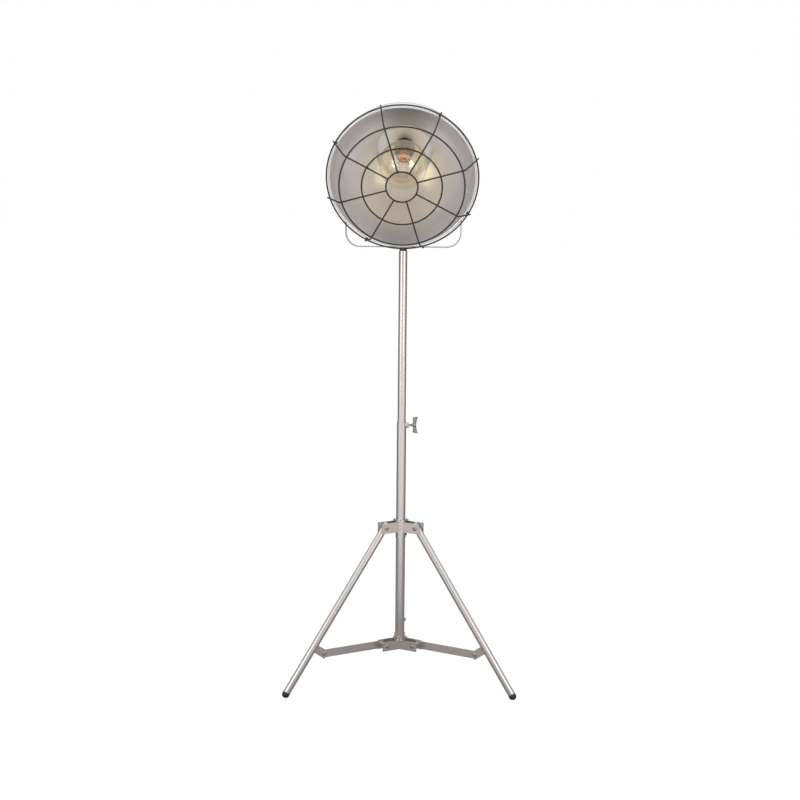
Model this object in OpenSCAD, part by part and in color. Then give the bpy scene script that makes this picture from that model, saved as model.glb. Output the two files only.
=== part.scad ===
// Tripod floor lamp: folding tripod, telescopic column, swivelling yoke and a wide dome shade with a wire guard.
// Millimetres, +Z up. The origin is on the floor, on the column's axis. The lamp faces -Y.

/* [Column] */
// Outer diameter of the lower tube
tube_d = 25; // [22:0.5:30]
// Height of the lower tube's top end above the floor
tube_top = 702; // [660:5:820]
// Height of the clamping screw above the floor
clamp_z = 694; // [650:1:800]
// Height of the mast tube's top end above the floor
mast_top = 1154; // [1100:5:1300]
// Length of the mast tube
mast_len = 657; // [560:5:680]

/* [Tripod] */
// Outer diameter of a leg
leg_d = 19; // [16:0.5:22]
// Distance from the column's axis to a leg's top pivot
leg_pivot_r = 49.5; // [44:0.5:58]
// Height of the legs' top pivots
leg_pivot_z = 420; // [380:1:440]
// Distance from the column's axis to where a leg's axis meets the floor
foot_r = 346.5; // [300:0.5:400]
// Distance from the column's axis to a brace's inner pivot
hub_pivot_r = 46; // [42:1:54]
// Height of the braces while the tripod is open
brace_z = 97; // [84:1:116]
// Distance from the column's axis to a brace's outer pivot
lug_pivot_r = 224.5; // [190:0.5:235]
// Height of a brace strip
brace_h = 21; // [17:0.5:25]
// Height of the three bent plates of the sliding head
head_plate_h = 28; // [24:1:34]
// Height of the three bent plates of the bottom hub
hub_plate_h = 25; // [20:1:30]
// Thickness of the bent plates and the braces
sheet_t = 2.5; // [2:0.25:3]

/* [Lamp head] */
// Angle that the yoke and the lamp are turned about the column while at rest
head_turn = -1.4; // [-20:0.1:20]
// How far the lamp head points down while at rest
tilt_angle = 22.5; // [0:0.5:30]
// Outer radius of the shade's dome at the rim
shade_r = 184; // [150:1:200]
// Depth of the full half-ellipse that the dome follows
dome_depth = 205; // [185:1:245]
// Thickness of the shade's sheet
shade_t = 1.5; // [1:0.1:2]
// Radius of the opening at the back of the dome
neck_r = 77; // [62:1:88]
// Distance from the tilt axis forward to the rim
rim_ahead = 160; // [145:1:172]
// Height of the tilt axis above the underside of the yoke
yoke_rise = 237; // [225:1:285]
// Distance from the column's axis to the middle of a yoke arm
yoke_half = 150; // [146:1:180]
// Radius of the globe bulb
bulb_r = 62.5; // [50:0.5:64]
// Distance from the rim plane back to the bulb's centre
bulb_back = 94; // [80:1:100]

/* [Wire guard] */
// Wire radius
wire_r = 2; // [1.5:0.1:2.2]
// Radius of the wire ring round the rim
guard_back_r = 190; // [180:1:215]
// Radius of the outer ring at the front
guard_front_r = 155; // [130:1:165]
// Radius of the middle ring
guard_mid_r = 99.5; // [80:0.5:115]
// Radius of the small ring
guard_small_r = 39.5; // [32:0.5:47]
// How far the front rings stand ahead of the rim
guard_depth = 60; // [50:1:72]
// Angle of the first spoke
spoke_start = 15.8; // [0:0.1:44]

/* [Hidden] */
$fn = 96;
cut = 1;              // how far a cutter passes the surface it leaves
run = 0.05;           // radial clearance of a pin that turns in its hole
face_gap = 0.3;       // gap between faces that slide past each other
lap = 1;              // how far two fused shapes run into each other
seat = 0.5;           // depth of the seat that a plate has on the hub it is welded to

// column
plug_rim = 3;
plug_in = 14;          // how far a plastic plug goes into its tube
tube_r = tube_d / 2;
tube_wall = 1.4;
tube_bore = tube_r - tube_wall;
slide_fit = 0.1;
mast_r = tube_bore - slide_fit;
mast_wall = 1.2;
mast_bottom = mast_top - mast_len;
tube_bottom = brace_z - hub_plate_h / 2 + 2;
cap_r = mast_r - 1.5;
cap_h = 9;
glide_h = 4;
yoke_z = mast_top + cap_h;

// fasteners
bolt_r = 3;
bolt_head_r = 5.4;
bolt_head_h = 3.4;
nut_r = 5.6;
nut_h = 4.6;
bolt_end = 1.5;        // what a bolt shows past its nut

// clamping screw and its boss
boss_r = 7.5;
boss_len = 7;
clamp_r = 2.9;
clamp_shaft = 11;
wing_span = 47;
wing_depth = 13;
wing_t = 4;
wing_tilt = 12;
wing_root_r = clamp_r + 2;
wing_root_h = 9;

// tripod head
leg_r = leg_d / 2;
leg_wall = 1.2;
leg_bearings = [for (i = [0:2]) -90 + 60 + 120 * i];
head_gap = leg_d + 1;
collar_r = tube_r + 2.6;
collar_low_r = tube_r + 1.4;
collar_bore = tube_r + slide_fit;
collar_drop = 16;
flange_r = 21;
flange_h = 3;
flange_z = head_plate_h / 2 + 0.5;
flare = 1;             // the collar's top edge opens by this much
head_arm = leg_pivot_r + 14;
arm_chamfer = 4;
set_screw_r = 2.5;
set_head_r = 3.4;
set_head_h = 3;
plate_bearings = [-90, 30, 150];

// legs
leg_angle = atan((foot_r - leg_pivot_r) / leg_pivot_z);
leg_axis_len = leg_pivot_z / cos(leg_angle);
leg_top = 14;
foot_cap_r = leg_r + 0.3;
foot_ball_r = foot_cap_r + 0.2;
foot_rim = 5;          // straight length of a foot outside its leg
foot_plug = 22;        // length of a foot inside its leg
leg_end = leg_axis_len - foot_ball_r - foot_rim;
// the lug's bolt in a leg's own frame: x is inward from the leg's axis, z is down the leg
lug_dx = lug_pivot_r - leg_pivot_r;
lug_dz = leg_pivot_z - brace_z;
lug_in = lug_dz * sin(leg_angle) - lug_dx * cos(leg_angle);
lug_down = lug_dx * sin(leg_angle) + lug_dz * cos(leg_angle);
lug_w = 22;
lug_end = 8;
// the side of its leg that each brace lies on: both front braces are behind their legs
brace_sides = [1, -1, -1];
hub_core_r = tube_r + 3;
hub_gap = 2 * (hub_core_r - seat) * sin(60);
brace_in = hub_gap / 2 - face_gap - sheet_t;
lug_out = brace_in - face_gap;
lug_t = 3;
brace_len = lug_pivot_r - hub_pivot_r;
hub_arm = hub_pivot_r + 14;
hub_spacer_r = bolt_r + 3;

// yoke
yoke_w = 20;
yoke_t = 3;
yoke_corner = 38;
tilt_z = yoke_z + yoke_rise;
swivel_r = 4;
swivel_head_r = 7.2;
swivel_head_h = 4;
swivel_in = 10;
washer_t = 1;

// shade, along the lamp's own axis: 0 is the tilt axis, positive is ahead of it
rim_z = rim_ahead;
neck_back = dome_depth * sqrt(1 - pow(neck_r / shade_r, 2));
neck_z = rim_z - neck_back;
neck_len = 30;
neck_end = neck_z - neck_len;
bead_r = 2.6;
stud_r = 4;
stud_x = shade_r * sqrt(1 - pow(rim_z / dome_depth, 2));
yoke_in = yoke_half - yoke_t / 2;
yoke_out = yoke_half + yoke_t / 2;
spacer_r = 9;
spacer_sink = 8;       // how deep a spacer is cut back by the shade
knob_r = 14;
knob_h = 15;
knob_floor = 4;
knob_neck_h = 3;
knob_flutes = 8;
flute_r = 4.5;
flute_out = 3;         // how far a flute's centre is outside the knob
stud_sink = 9;         // how deep a stud's round bar is cut back by the shade's inner face
vent_count = 12;
vent_r = 3;
cap_dome = 16;         // how far the neck's lid bulges
cap_edge = 2;
cap_t = 2;
gland_r = 9;
gland_h = 20;
gland_root_r = gland_r - 3;
gland_nut_h = 6;
gland_in = 8;
gland_bore_r = 3.5;
bulb_z = rim_z - bulb_back;
bulb_wall = 1;
bulb_neck_r = 17;
base_r = 13;
base_front = bulb_z - bulb_r - 4;
base_len = 27;
base_tip = 3;
stem_r = 3;
stem_foot_r = 9;
stem_foot_h = 15;
stem_short = 20;
holder_r = 22;
holder_flange = 6;
holder_foot_h = 4;
holder_lip = 12;
holder_waist = 3;
holder_play = 0.5;
holder_front = base_front - 4;
guard_z = rim_z + guard_depth;
guard_back_z = rim_z + 2.5;
guard_weld = 0.3;
guard_pitch = 2 * wire_r - guard_weld; // between the centres of two welded wires
spoke_count = 8;
spoke_z = guard_z - guard_pitch;
kink_r = guard_front_r + 6;
spoke_bend = 8;
spoke_tail = 5;        // what a spoke's end stands past the ring
spoke_r = wire_r - 0.05; // the straight lengths end just inside the bend
bend_lap = 0.4;
clip_bearings = [for (i = [0:3]) spoke_start + 45 + 90 * i];
clip_w = 6;
clip_back = 2;

// Points on an arc, from one angle to another.
function arc(cx, cy, r, from, to, steps) =
    [for (a = [for (i = [0:steps]) from + (to - from) * i / steps]) [cx + r * cos(a), cy + r * sin(a)]];

// Points on the dome's outline, offset inward, from the rim back to the neck.
function dome_line(inset) = let (a = shade_r - inset, b = dome_depth - inset, last = asin((neck_z - rim_z) / b))
    [for (i = [0:30]) [a * cos(last * i / 30), rim_z + b * sin(last * i / 30)]];

function reversed(points) = [for (i = [len(points) - 1:-1:0]) points[i]];

// A tube along Z.
module tube(outer, inner, low, high) {
    difference() {
        translate([0, 0, low]) cylinder(r = outer, h = high - low);
        translate([0, 0, low - cut]) cylinder(r = inner, h = high - low + 2 * cut);
    }
}

// Turns Z into X.
module along_x() {
    rotate([0, 90, 0]) children();
}

// Turns Z into Y.
module along_y() {
    rotate([-90, 0, 0]) children();
}

// A bolt with its head's underside at z = 0 and its shank going down.
module bolt(shank_r, shank_len, head_r, head_h) {
    union() {
        button(head_r, head_h);
        translate([0, 0, -shank_len]) cylinder(r = shank_r, h = shank_len + head_h / 4);
    }
}

// A round head with a curved top.
module button(r, h) {
    rim = 0.4 * h;
    rotate_extrude()
        polygon(concat([[0, 0], [r, 0]], [for (a = [0:10:90]) [r * cos(a), rim + (h - rim) * sin(a)]]));
}

// A hexagon nut standing on z = 0, on a shank of the given radius.
module nut(shank_r) {
    difference() {
        cylinder(r = nut_r, h = nut_h, $fn = 6);
        translate([0, 0, -cut]) cylinder(r = shank_r, h = nut_h + 2 * cut);
    }
}

// Puts its children at a pivot in leg i's radial plane.
module at_leg(i, r, z) {
    rotate([0, 0, leg_bearings[i]]) translate([r, 0, z]) children();
}

// The frame of leg i: the origin is its top pivot, z runs down the leg, x points inward.
module leg_frame(i) {
    at_leg(i, leg_pivot_r, leg_pivot_z) rotate([0, 180 - leg_angle, 0]) children();
}

// One arm of a bent plate: it runs outward along X, its inner face at the given offset in Y.
module plate_arm(offset, start, end, height, chamfer) {
    difference() {
        translate([start, offset, -height / 2]) cube([end - start, sheet_t, height]);
        if (chamfer > 0) {
            translate([end, offset - cut, height / 2]) rotate([0, 45, 0])
                translate([-chamfer * 0.7, 0, -chamfer]) cube([2 * chamfer, sheet_t + 2 * cut, 2 * chamfer]);
        }
    }
}

// Both arms of a plate that sits between two legs, 60 degrees to either side of +X.
module plate_arms(gap, start, end, height, chamfer) {
    for (side = [-1, 1]) {
        mirror([0, side > 0 ? 1 : 0, 0]) rotate([0, 0, -60]) plate_arm(gap / 2, start, end, height, chamfer);
    }
}

// The bolt holes through both arms of such a plate.
module plate_holes(gap, pivot_r) {
    for (side = [-1, 1]) {
        rotate([0, 0, 60 * side]) translate([pivot_r, 0, 0]) along_y()
            cylinder(r = bolt_r + run, h = gap + 4 * sheet_t, center = true);
    }
}

module lower_tube() {
    color("lightgray") difference() {
        tube(tube_r, tube_bore, tube_bottom, tube_top);
        translate([0, 0, clamp_z]) along_x() cylinder(r = clamp_r + run, h = tube_r + cut);
    }
}

module clamp_boss() {
    color("lightgray") difference() {
        translate([0, 0, clamp_z]) along_x() cylinder(r = boss_r, h = tube_r + boss_len);
        cylinder(r = tube_r, h = tube_top + 2 * boss_r);
        translate([0, 0, clamp_z]) along_x() cylinder(r = clamp_r + run, h = tube_r + boss_len + cut);
    }
}

module hub_core() {
    color("lightgray") tube(hub_core_r, tube_r, tube_bottom, brace_z + hub_plate_h / 2 - lap);
}

module tube_end_plug() {
    color("dimgray") union() {
        translate([0, 0, tube_bottom - plug_rim]) cylinder(r = tube_r, h = plug_rim);
        translate([0, 0, tube_bottom - lap]) cylinder(r = tube_bore, h = plug_in + lap);
    }
}

module hub_plate(bearing) {
    color("silver") difference() {
        translate([0, 0, brace_z]) rotate([0, 0, bearing]) difference() {
            plate_arms(hub_gap, hub_core_r / 2, hub_arm, hub_plate_h, 0);
            plate_holes(hub_gap, hub_pivot_r);
            // what would cross the middle line of the bend
            rotate([0, 0, 180]) translate([-hub_core_r, -hub_arm, -hub_plate_h])
                cube([4 * hub_core_r, 2 * hub_arm, 2 * hub_plate_h]);
        }
        cylinder(r = hub_core_r, h = 2 * brace_z);
    }
}

module hub_bolts() {
    color("dimgray") for (i = [0:2]) {
        at_leg(i, hub_pivot_r, brace_z) rotate([90 * brace_sides[i], 0, 0])
            translate([0, 0, hub_gap / 2 + sheet_t])
                bolt(bolt_r, hub_gap + 2 * sheet_t + nut_h + bolt_end, bolt_head_r, bolt_head_h);
    }
}

module hub_nuts() {
    color("dimgray") for (i = [0:2]) {
        at_leg(i, hub_pivot_r, brace_z) rotate([-90 * brace_sides[i], 0, 0])
            translate([0, 0, hub_gap / 2 + sheet_t]) nut(bolt_r);
    }
}

module hub_spacers() {
    color("silver") for (i = [0:2]) {
        at_leg(i, hub_pivot_r, brace_z) rotate([90 * brace_sides[i], 0, 0])
            tube(hub_spacer_r, bolt_r, face_gap - brace_in, hub_gap / 2);
    }
}

module head_collar() {
    color("lightgray") translate([0, 0, leg_pivot_z]) difference() {
        union() {
            translate([0, 0, -head_plate_h / 2]) cylinder(r = collar_r, h = head_plate_h + lap);
            translate([0, 0, -head_plate_h / 2 - collar_drop]) cylinder(r = collar_low_r, h = collar_drop + lap);
            translate([0, 0, flange_z]) cylinder(r = flange_r, h = flange_h);
        }
        translate([0, 0, -head_plate_h / 2 - collar_drop - cut])
            cylinder(r = collar_bore, h = 2 * head_plate_h + collar_drop);
        translate([0, 0, flange_z + flange_h - flare])
            cylinder(r1 = tube_r + flare, r2 = tube_r + 4 * flare, h = 1.5 * flare);
        translate([0, 0, -head_plate_h / 2 - collar_drop / 2]) along_x() cylinder(r = set_screw_r, h = 2 * tube_r);
    }
}

module head_plate(bearing, chamfer) {
    color("silver") translate([0, 0, leg_pivot_z]) rotate([0, 0, bearing]) difference() {
        union() {
            plate_arms(head_gap, head_gap / 2, head_arm, head_plate_h, chamfer);
            intersection() {
                translate([0, 0, -head_plate_h / 2]) cylinder(r = collar_r + sheet_t, h = head_plate_h);
                plate_wedge();
            }
        }
        translate([0, 0, -head_plate_h]) cylinder(r = collar_r, h = 2 * head_plate_h);
        plate_holes(head_gap, leg_pivot_r);
    }
}

// The sector that a plate's bulge fills, between the inner faces of its two arms.
module plate_wedge() {
    reach = 2 * collar_r;
    tip = head_gap / 2 / sin(60);
    translate([0, 0, -head_plate_h]) linear_extrude(height = 2 * head_plate_h)
        polygon([[tip, 0], [tip + reach * cos(60), -reach * sin(60)], [tip + 2 * reach, 0],
            [tip + reach * cos(60), reach * sin(60)]]);
}

module head_bolts() {
    color("dimgray") for (i = [0:2]) {
        at_leg(i, leg_pivot_r, leg_pivot_z) rotate([90 * brace_sides[i], 0, 0])
            translate([0, 0, head_gap / 2 + sheet_t])
                bolt(bolt_r, head_gap + 2 * sheet_t + nut_h + bolt_end, bolt_head_r, bolt_head_h);
    }
}

module head_nuts() {
    color("dimgray") for (i = [0:2]) {
        at_leg(i, leg_pivot_r, leg_pivot_z) rotate([-90 * brace_sides[i], 0, 0])
            translate([0, 0, head_gap / 2 + sheet_t]) nut(bolt_r);
    }
}

module set_screw() {
    color("black") translate([collar_low_r, 0, leg_pivot_z - head_plate_h / 2 - collar_drop / 2])
        along_x() bolt(set_screw_r, collar_low_r - collar_bore, set_head_r, set_head_h);
}

module leg_tube(i) {
    color("lightgray") leg_frame(i) difference() {
        tube(leg_r, leg_r - leg_wall, -leg_top, leg_end);
        along_y() cylinder(r = bolt_r + run, h = 2 * leg_d, center = true);
    }
}

module leg_lug(i) {
    side = brace_sides[i];
    color("silver") leg_frame(i) difference() {
        translate([leg_r / 4, side > 0 ? lug_out - lug_t : -lug_out, lug_down - lug_w / 2])
            cube([lug_in + lug_end - leg_r / 4, lug_t, lug_w]);
        translate([0, 0, lug_down - lug_w]) cylinder(r = leg_r, h = 2 * lug_w);
        translate([lug_in, 0, lug_down]) along_y() cylinder(r = bolt_r, h = 3 * hub_gap, center = true);
    }
}

module lug_bolt(i) {
    color("dimgray") leg_frame(i) translate([lug_in, brace_sides[i] * (lug_out - lug_t), lug_down])
        rotate([90 * brace_sides[i], 0, 0]) bolt(bolt_r, lug_t, bolt_head_r, bolt_head_h);
}

module leg_foot(i) {
    color("black") difference() {
        leg_frame(i) union() {
            translate([0, 0, leg_end]) cylinder(r = foot_cap_r, h = foot_rim);
            translate([0, 0, leg_end + foot_rim]) intersection() {
                rotate([0, leg_angle - 180, 0]) sphere(r = foot_ball_r);
                translate([0, 0, lap - foot_rim]) cylinder(r = leg_d, h = leg_d + foot_rim);
            }
            translate([0, 0, leg_end - foot_plug]) cylinder(r = leg_r - leg_wall, h = foot_plug + lap);
        }
        translate([-2 * foot_r, -2 * foot_r, -2 * foot_ball_r]) cube([4 * foot_r, 4 * foot_r, 2 * foot_ball_r]);
    }
}

module brace(i) {
    side = brace_sides[i];
    h = brace_h / 2;
    color("silver") at_leg(i, hub_pivot_r, brace_z) difference() {
        translate([0, side > 0 ? brace_in : -brace_in - sheet_t, 0]) along_y() linear_extrude(height = sheet_t)
            polygon(concat(arc(0, 0, h, 90, 270, 18), arc(brace_len, 0, h, -90, 90, 18)));
        for (x = [0, brace_len]) {
            translate([x, 0, 0]) along_y() cylinder(r = bolt_r + run, h = 2 * hub_gap, center = true);
        }
    }
}

// The outer end's nut has a stub that fills the brace's hole and stops short of the lug.
module brace_nut(i) {
    color("dimgray") at_leg(i, lug_pivot_r, brace_z) rotate([-90 * brace_sides[i], 0, 0]) union() {
        translate([0, 0, brace_in + sheet_t]) cylinder(r = nut_r, h = nut_h - lap, $fn = 6);
        translate([0, 0, brace_in]) cylinder(r = bolt_r + run, h = sheet_t + nut_h + lap);
    }
}

module wing_screw() {
    start = mast_r + face_gap;
    grip = tube_r + boss_len + clamp_shaft;
    w = wing_span / 2;
    ear_r = wing_depth / 3;
    ear_z = grip + wing_depth * 0.55;
    color("gray") translate([0, 0, clamp_z]) along_x() union() {
        translate([0, 0, start]) cylinder(r = clamp_r, h = grip - start);
        translate([0, 0, grip - wing_root_h / 3]) cylinder(r = wing_root_r, h = wing_root_h);
        rotate([0, 0, wing_tilt]) rotate([90, 0, 0]) translate([0, 0, -wing_t / 2])
            linear_extrude(height = wing_t) polygon(concat([[-clamp_r, grip], [clamp_r, grip]],
                arc(w - ear_r, ear_z, ear_r, -60, 110, 10), [[0, grip + wing_depth / 3]],
                arc(ear_r - w, ear_z, ear_r, 70, 240, 10)));
    }
}

module mast_tube() {
    color("lightgray") tube(mast_r, mast_r - mast_wall, mast_bottom, mast_top);
}

module mast_glide() {
    color("dimgray") translate([0, 0, mast_bottom]) union() {
        translate([0, 0, -glide_h]) cylinder(r = mast_r, h = glide_h);
        translate([0, 0, -lap]) cylinder(r = mast_r - mast_wall, h = plug_in + lap);
    }
}

module mast_cap() {
    color("black") difference() {
        union() {
            translate([0, 0, mast_top]) cylinder(r = cap_r, h = cap_h - face_gap - washer_t);
            translate([0, 0, mast_top - plug_in]) cylinder(r = mast_r - mast_wall, h = plug_in + lap);
        }
        translate([0, 0, mast_top - plug_in - cut]) cylinder(r = swivel_r, h = plug_in + cap_h + cut);
    }
}

module swivel_bolt() {
    color("dimgray") translate([0, 0, yoke_z + yoke_t + face_gap])
        bolt(swivel_r, yoke_t + face_gap + cap_h + swivel_in, swivel_head_r, swivel_head_h);
}

module swivel_washer() {
    color("silver") tube(cap_r, swivel_r, yoke_z - face_gap - washer_t, yoke_z - face_gap);
}

// The bent strip seen from the front: it goes up one side, so that mirroring gives the other.
function yoke_side() = concat([[0, yoke_z], [yoke_out - yoke_corner, yoke_z]],
    arc(yoke_out - yoke_corner, yoke_z + yoke_corner, yoke_corner, -90, 0, 24),
    [[yoke_out, tilt_z + yoke_w], [yoke_in, tilt_z + yoke_w]],
    arc(yoke_out - yoke_corner, yoke_z + yoke_corner, yoke_corner - yoke_t, 0, -90, 24), [[0, yoke_z + yoke_t]]);

// The yoke's frame: the origin is on the tilt axis, over the column, and x runs along the tilt axis.
module yoke_frame() {
    rotate([0, 0, head_turn]) translate([0, 0, tilt_z]) children();
}

module yoke() {
    left = reversed([for (p = yoke_side()) [-p[0], p[1]]]);
    outline = concat([for (i = [1:len(left) - 2]) left[i]], [for (i = [1:len(left) - 2]) yoke_side()[i]]);
    color("silver") rotate([0, 0, head_turn]) difference() {
        intersection() {
            rotate([90, 0, 0]) translate([0, 0, -yoke_w / 2]) linear_extrude(height = yoke_w) polygon(outline);
            along_x() translate([0, 0, -2 * yoke_half]) linear_extrude(height = 4 * yoke_half)
                polygon(concat([[-yoke_z + cut, yoke_w / 2], [-yoke_z + cut, -yoke_w / 2]],
                    arc(-tilt_z, 0, yoke_w / 2, -90, -270, 24)));
        }
        translate([0, 0, tilt_z]) along_x() cylinder(r = stud_r + 2 * run, h = 3 * yoke_half, center = true);
        cylinder(r = swivel_r + 2 * run, h = 2 * yoke_z);
    }
}

// The lamp head's frame: the origin is on the tilt axis and z points ahead along the lamp's axis.
module head_frame() {
    yoke_frame() rotate([tilt_angle + 90, 0, 0]) children();
}

module dome_solid() {
    rotate_extrude() polygon(concat([[0, rim_z]], dome_line(0), [[0, neck_z]]));
}

module shade() {
    color("silver") head_frame() difference() {
        union() {
            rotate_extrude() polygon(concat(dome_line(0), reversed(dome_line(shade_t))));
            rotate_extrude() translate([shade_r, rim_z]) circle(r = bead_r, $fn = 32);
        }
        along_x() cylinder(r = stud_r, h = 3 * shade_r, center = true);
    }
}

module neck_ring() {
    color("silver") head_frame() difference() {
        tube(neck_r - shade_t, neck_r - 2 * shade_t, neck_end, neck_z);
        for (i = [0:vent_count - 1]) {
            rotate([0, 0, 360 * (i + 0.5) / vent_count]) translate([neck_r / 2, 0, neck_end + neck_len / 2])
                along_x() cylinder(r = vent_r, h = neck_r);
        }
    }
}

// A shallow hollow lid, with a step that centres it in the neck ring and a hole for the gland.
module neck_cap() {
    seat_r = neck_r - 2 * shade_t;
    inner_r = neck_r - 2 * cap_t;
    back = neck_end - cap_edge;
    color("silver") head_frame() difference() {
        rotate_extrude() polygon(concat([[0, neck_end + shade_t], [seat_r, neck_end + shade_t]],
            [[seat_r, neck_end], [neck_r, neck_end]],
            [for (a = [0:5:90]) [neck_r * cos(a), back - cap_dome * sin(a)]]));
        rotate_extrude() polygon(concat([[0, neck_end + shade_t - cap_t], [inner_r, neck_end + shade_t - cap_t]],
            [for (a = [0:5:90]) [inner_r * cos(a), back - (cap_dome - cap_t) * sin(a)]]));
        translate([0, 0, back - cap_dome - cut]) cylinder(r = gland_root_r, h = cap_dome);
    }
}

module cable_gland() {
    back = neck_end - cap_edge - cap_dome;
    color("black") head_frame() difference() {
        union() {
            translate([0, 0, back - gland_h])
                cylinder(r1 = gland_root_r, r2 = gland_r - lap, h = gland_h - gland_nut_h + lap);
            translate([0, 0, back - gland_nut_h]) cylinder(r = gland_r + lap, h = gland_nut_h, $fn = 6);
            translate([0, 0, back - lap]) cylinder(r = gland_root_r, h = gland_in);
        }
        translate([0, 0, back - gland_h - cut]) cylinder(r = gland_bore_r, h = gland_h + gland_in + cut);
    }
}

module lamp_holder() {
    foot = neck_end + shade_t;
    color("black") head_frame() difference() {
        union() {
            translate([0, 0, foot]) cylinder(r = holder_r + holder_flange, h = holder_foot_h);
            translate([0, 0, foot + lap]) cylinder(r = holder_r - holder_waist, h = holder_front - holder_lip - foot);
            translate([0, 0, holder_front - holder_lip]) cylinder(r = holder_r, h = holder_lip);
        }
        translate([0, 0, holder_front - base_len]) cylinder(r = base_r + holder_play, h = base_len + cut);
    }
}

// The glass narrows from the globe into a short neck that the base closes.
function glass_line(inset) = let (r = bulb_r - inset, join = acos((bulb_neck_r - inset) / r))
    concat([for (i = [0:40]) [r * cos(90 - (90 + join) * i / 40), bulb_z + r * sin(90 - (90 + join) * i / 40)]],
        [[bulb_neck_r - inset, base_front - 2]]);

module bulb_glass() {
    color("orange", 0.5) head_frame() rotate_extrude()
        polygon(concat(glass_line(0), reversed(glass_line(bulb_wall))));
}

module bulb_base() {
    color("goldenrod") head_frame() union() {
        translate([0, 0, base_front - base_len + base_tip]) cylinder(r = base_r, h = base_len - base_tip - 2 * lap);
        translate([0, 0, base_front - 4 * lap]) cylinder(r = bulb_neck_r - bulb_wall, h = 3 * lap);
        translate([0, 0, base_front - base_len]) cylinder(r = base_r / 2, h = base_tip + lap);
    }
}

module bulb_stem() {
    color("peru") head_frame() union() {
        translate([0, 0, base_front - lap]) cylinder(r1 = stem_foot_r, r2 = stem_foot_r / 2, h = stem_foot_h);
        translate([0, 0, base_front + stem_foot_h - 2 * lap])
            cylinder(r = stem_r, h = bulb_z - base_front - stem_short);
    }
}

module wire_ring(r, z) {
    translate([0, 0, z]) rotate_extrude() translate([r, 0]) circle(r = wire_r, $fn = 24);
}

module guard_rings() {
    color("black") head_frame() {
        wire_ring(guard_back_r, guard_back_z);
        wire_ring(guard_front_r, guard_z);
        wire_ring(guard_mid_r, guard_z);
        wire_ring(guard_small_r, guard_z);
    }
}

// A spoke crosses the front rings behind them, bends, and passes outside the ring at the rim.
module guard_spokes() {
    out = guard_back_r - kink_r;
    back = spoke_z - guard_back_z;
    span = sqrt(out * out + back * back);
    turn = 90 - atan(out / back) - asin(guard_pitch / span);
    before = spoke_bend * tan(turn / 2);
    reach = sqrt(span * span - guard_pitch * guard_pitch) + spoke_tail - before;
    color("black") head_frame() for (i = [0:spoke_count - 1]) {
        rotate([0, 0, spoke_start + 360 * i / spoke_count]) union() {
            translate([guard_small_r, 0, spoke_z]) along_x()
                cylinder(r = spoke_r, h = kink_r - before - guard_small_r + bend_lap);
            translate([kink_r - before, 0, spoke_z - spoke_bend]) rotate([90, 0, 0]) rotate([0, 0, 90 - turn])
                rotate_extrude(angle = turn) translate([spoke_bend, 0]) circle(r = wire_r, $fn = 24);
            translate([kink_r, 0, spoke_z]) rotate([0, 90 + turn, 0]) translate([0, 0, before - bend_lap])
                cylinder(r = spoke_r, h = reach + bend_lap);
        }
    }
}

// Small lugs between the rolled rim and the ring round it, behind every second spoke.
module guard_clips() {
    color("black") head_frame() for (bearing = clip_bearings) {
        rotate([0, 0, bearing]) difference() {
            translate([shade_r, -clip_w / 2, rim_z - clip_back])
                cube([guard_back_r - shade_r, clip_w, guard_back_z - rim_z + clip_back]);
            rotate_extrude() translate([shade_r, rim_z]) circle(r = bead_r, $fn = 32);
            wire_ring(guard_back_r, guard_back_z);
            dome_solid();
        }
    }
}

// The studs are flush with the shade's inner face.
module tilt_studs() {
    inner = stud_x - stud_sink;
    color("dimgray") difference() {
        yoke_frame() for (side = [0, 180]) {
            rotate([0, 0, side]) along_x() translate([0, 0, inner])
                cylinder(r = stud_r, h = yoke_out + knob_h - knob_floor - inner);
        }
        head_frame() rotate_extrude() polygon(concat([[0, rim_z]], dome_line(shade_t), [[0, neck_z]]));
    }
}

module tilt_spacers() {
    color("silver") difference() {
        yoke_frame() for (side = [0, 180]) {
            rotate([0, 0, side]) along_x() tube(spacer_r, stud_r, stud_x - spacer_sink, yoke_in - face_gap);
        }
        head_frame() dome_solid();
    }
}

module tilt_knob(side) {
    color("black") yoke_frame() rotate([0, 0, side]) along_x() translate([0, 0, yoke_out + face_gap]) difference() {
        union() {
            cylinder(r = knob_r * 0.6, h = knob_neck_h + lap);
            translate([0, 0, knob_neck_h]) cylinder(r = knob_r, h = knob_h - knob_neck_h);
        }
        for (i = [0:knob_flutes - 1]) {
            rotate([0, 0, 360 * i / knob_flutes]) translate([knob_r + flute_out, 0, knob_neck_h - cut])
                cylinder(r = flute_r, h = knob_h);
        }
        translate([0, 0, -cut]) cylinder(r = stud_r + run, h = knob_h - knob_floor + cut);
    }
}

lower_tube();
clamp_boss();
hub_core();
tube_end_plug();
hub_plate(plate_bearings[0]);  // hub_plate_front
hub_plate(plate_bearings[1]);  // hub_plate_right
hub_plate(plate_bearings[2]);  // hub_plate_left
hub_bolts();
hub_nuts();
hub_spacers();
head_collar();
head_plate(plate_bearings[0], arm_chamfer);  // head_plate_front
head_plate(plate_bearings[1], 0);  // head_plate_right
head_plate(plate_bearings[2], 0);  // head_plate_left
head_bolts();
head_nuts();
set_screw();
leg_tube(0);  // leg_tube_1
leg_tube(1);  // leg_tube_2
leg_tube(2);  // leg_tube_3
leg_lug(0);  // leg_lug_1
leg_lug(1);  // leg_lug_2
leg_lug(2);  // leg_lug_3
lug_bolt(0);  // lug_bolt_1
lug_bolt(1);  // lug_bolt_2
lug_bolt(2);  // lug_bolt_3
leg_foot(0);  // leg_foot_1
leg_foot(1);  // leg_foot_2
leg_foot(2);  // leg_foot_3
brace(0);  // brace_1
brace(1);  // brace_2
brace(2);  // brace_3
brace_nut(0);  // brace_nut_1
brace_nut(1);  // brace_nut_2
brace_nut(2);  // brace_nut_3
wing_screw();
mast_tube();
mast_glide();
mast_cap();
swivel_bolt();
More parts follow.
